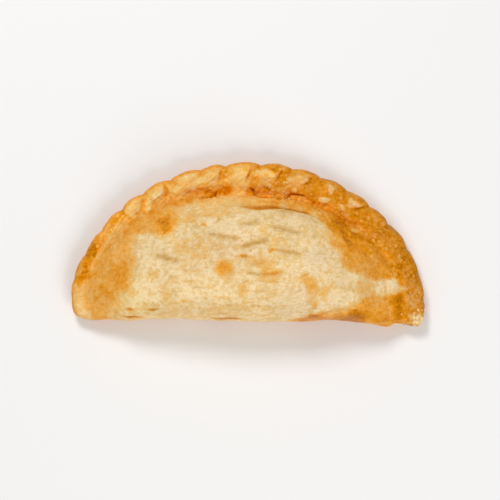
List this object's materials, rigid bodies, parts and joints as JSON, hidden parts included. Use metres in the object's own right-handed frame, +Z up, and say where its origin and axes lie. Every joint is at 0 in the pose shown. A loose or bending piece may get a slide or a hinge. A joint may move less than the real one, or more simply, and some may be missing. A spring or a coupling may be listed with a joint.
{
  "type": "beef empanada",
  "caption": "Half-moon pastry turnover with a domed, meat-filled body, a straight folded edge and a pinched rope edge along its arch, fried and left uncut.",
  "frame": {"origin": "middle of the bounding box, at the height of the surface that the empanada lies on", "axes": "+X along the folded edge, +Y from the fold towards the top of the pinched arch, +Z up through the dome"},
  "size_m": [0.15, 0.0698, 0.0328],
  "materials": {
    "crust": "fried wheat pastry: pale cream on the dome, golden to orange-brown at the tips and along the pinched edge, matt with a faint oily sheen"
  },
  "bodies": {
    "root": {"empanada": "crust"}
  },
  "joints": []
}
